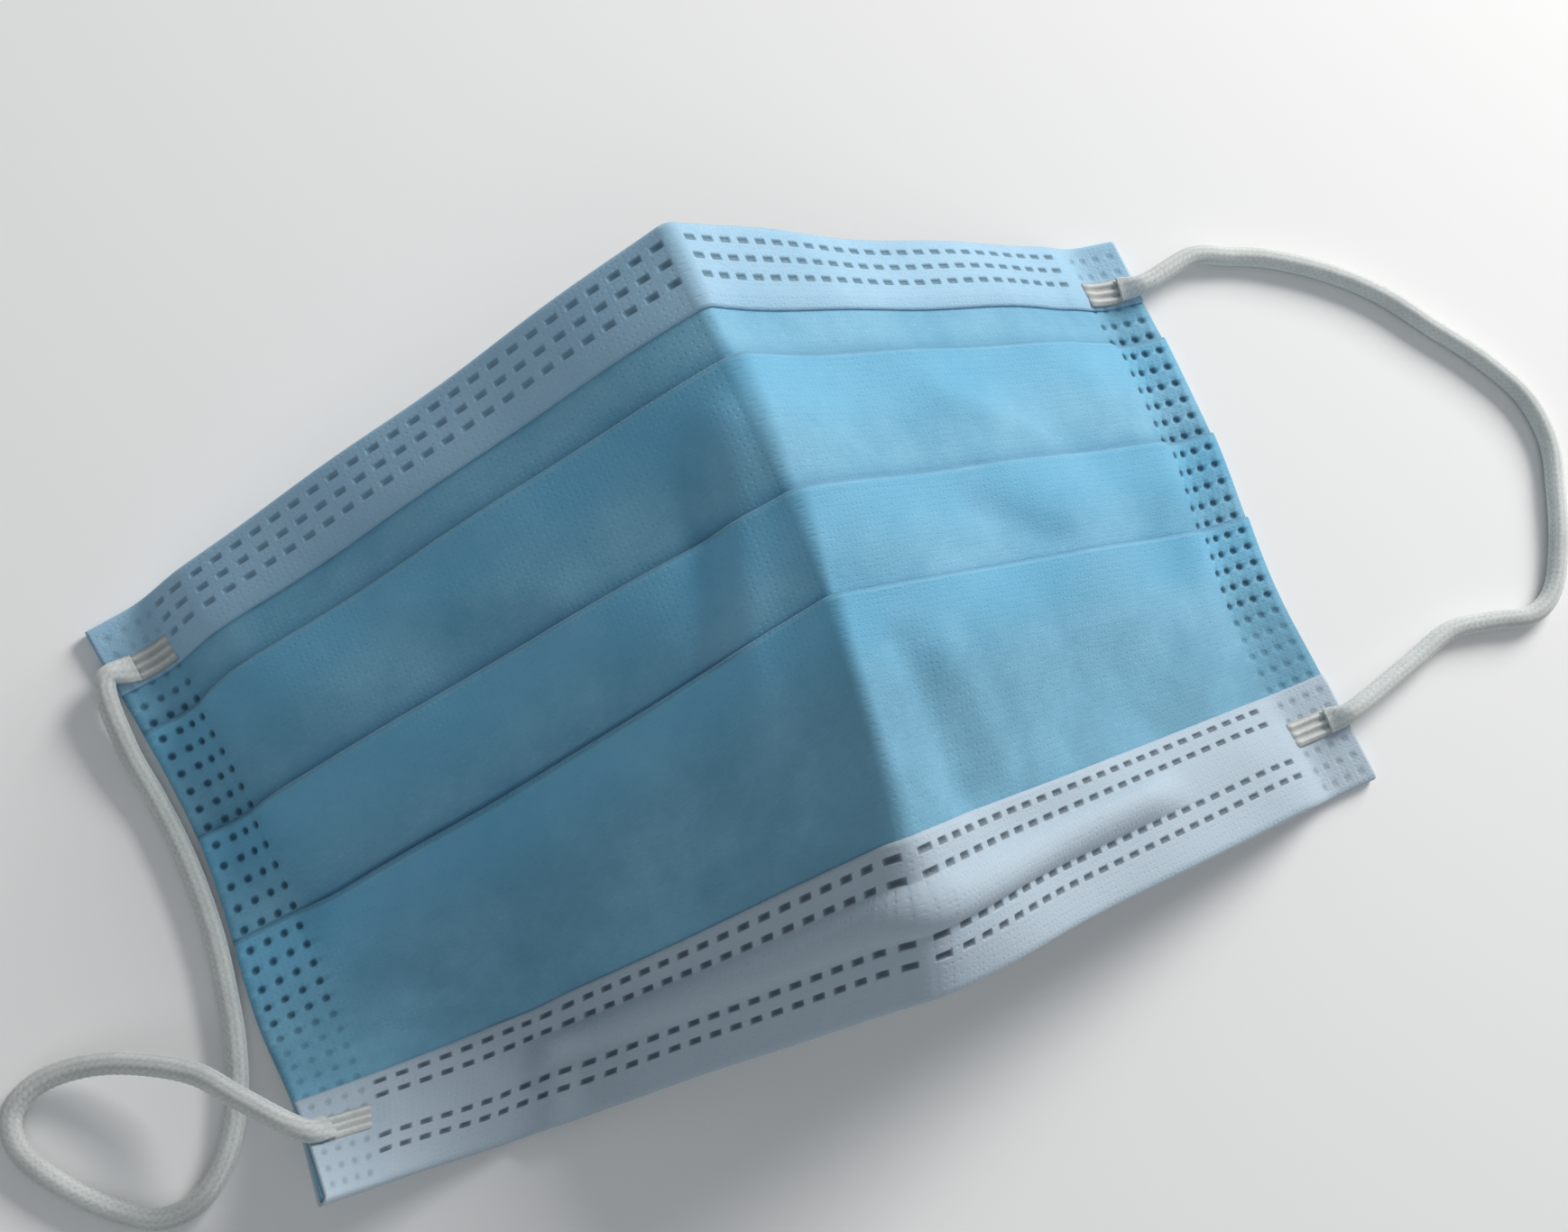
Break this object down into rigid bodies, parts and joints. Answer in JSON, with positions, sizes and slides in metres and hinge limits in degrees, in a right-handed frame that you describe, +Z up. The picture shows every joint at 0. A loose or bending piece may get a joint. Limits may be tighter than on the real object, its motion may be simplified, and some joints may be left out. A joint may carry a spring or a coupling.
{
  "type": "surgical face mask",
  "caption": "Pleated non-woven surgical face mask with hemmed edges, a nose wire and elastic ear loops, opened from a fold into a shallow tent.",
  "frame": {"origin": "centre of the underside of the cloth mask's box, on the surface it lies on, measured without the ear loops", "axes": "+Z up, away from the surface; +X along the mask's width, towards the wearer's left ear; +Y from the nose edge to the chin edge"},
  "size_m": [0.2373, 0.0986, 0.044],
  "materials": {
    "blue_cloth": "non-woven, matt",
    "white_cloth": "non-woven, matt",
    "elastic": "knitted elastic, matt",
    "nose_wire": "satin"
  },
  "bodies": {
    "root": {"pleated_panel": "blue_cloth", "chin_hem": "white_cloth", "nose_hem": "white_cloth", "nose_wire": "nose_wire", "ear_loop_left": "elastic", "ear_loop_right": "elastic", "loop_end_chin_left": "elastic", "loop_end_nose_left": "elastic", "loop_end_chin_right": "elastic", "loop_end_nose_right": "elastic"}
  },
  "joints": []
}
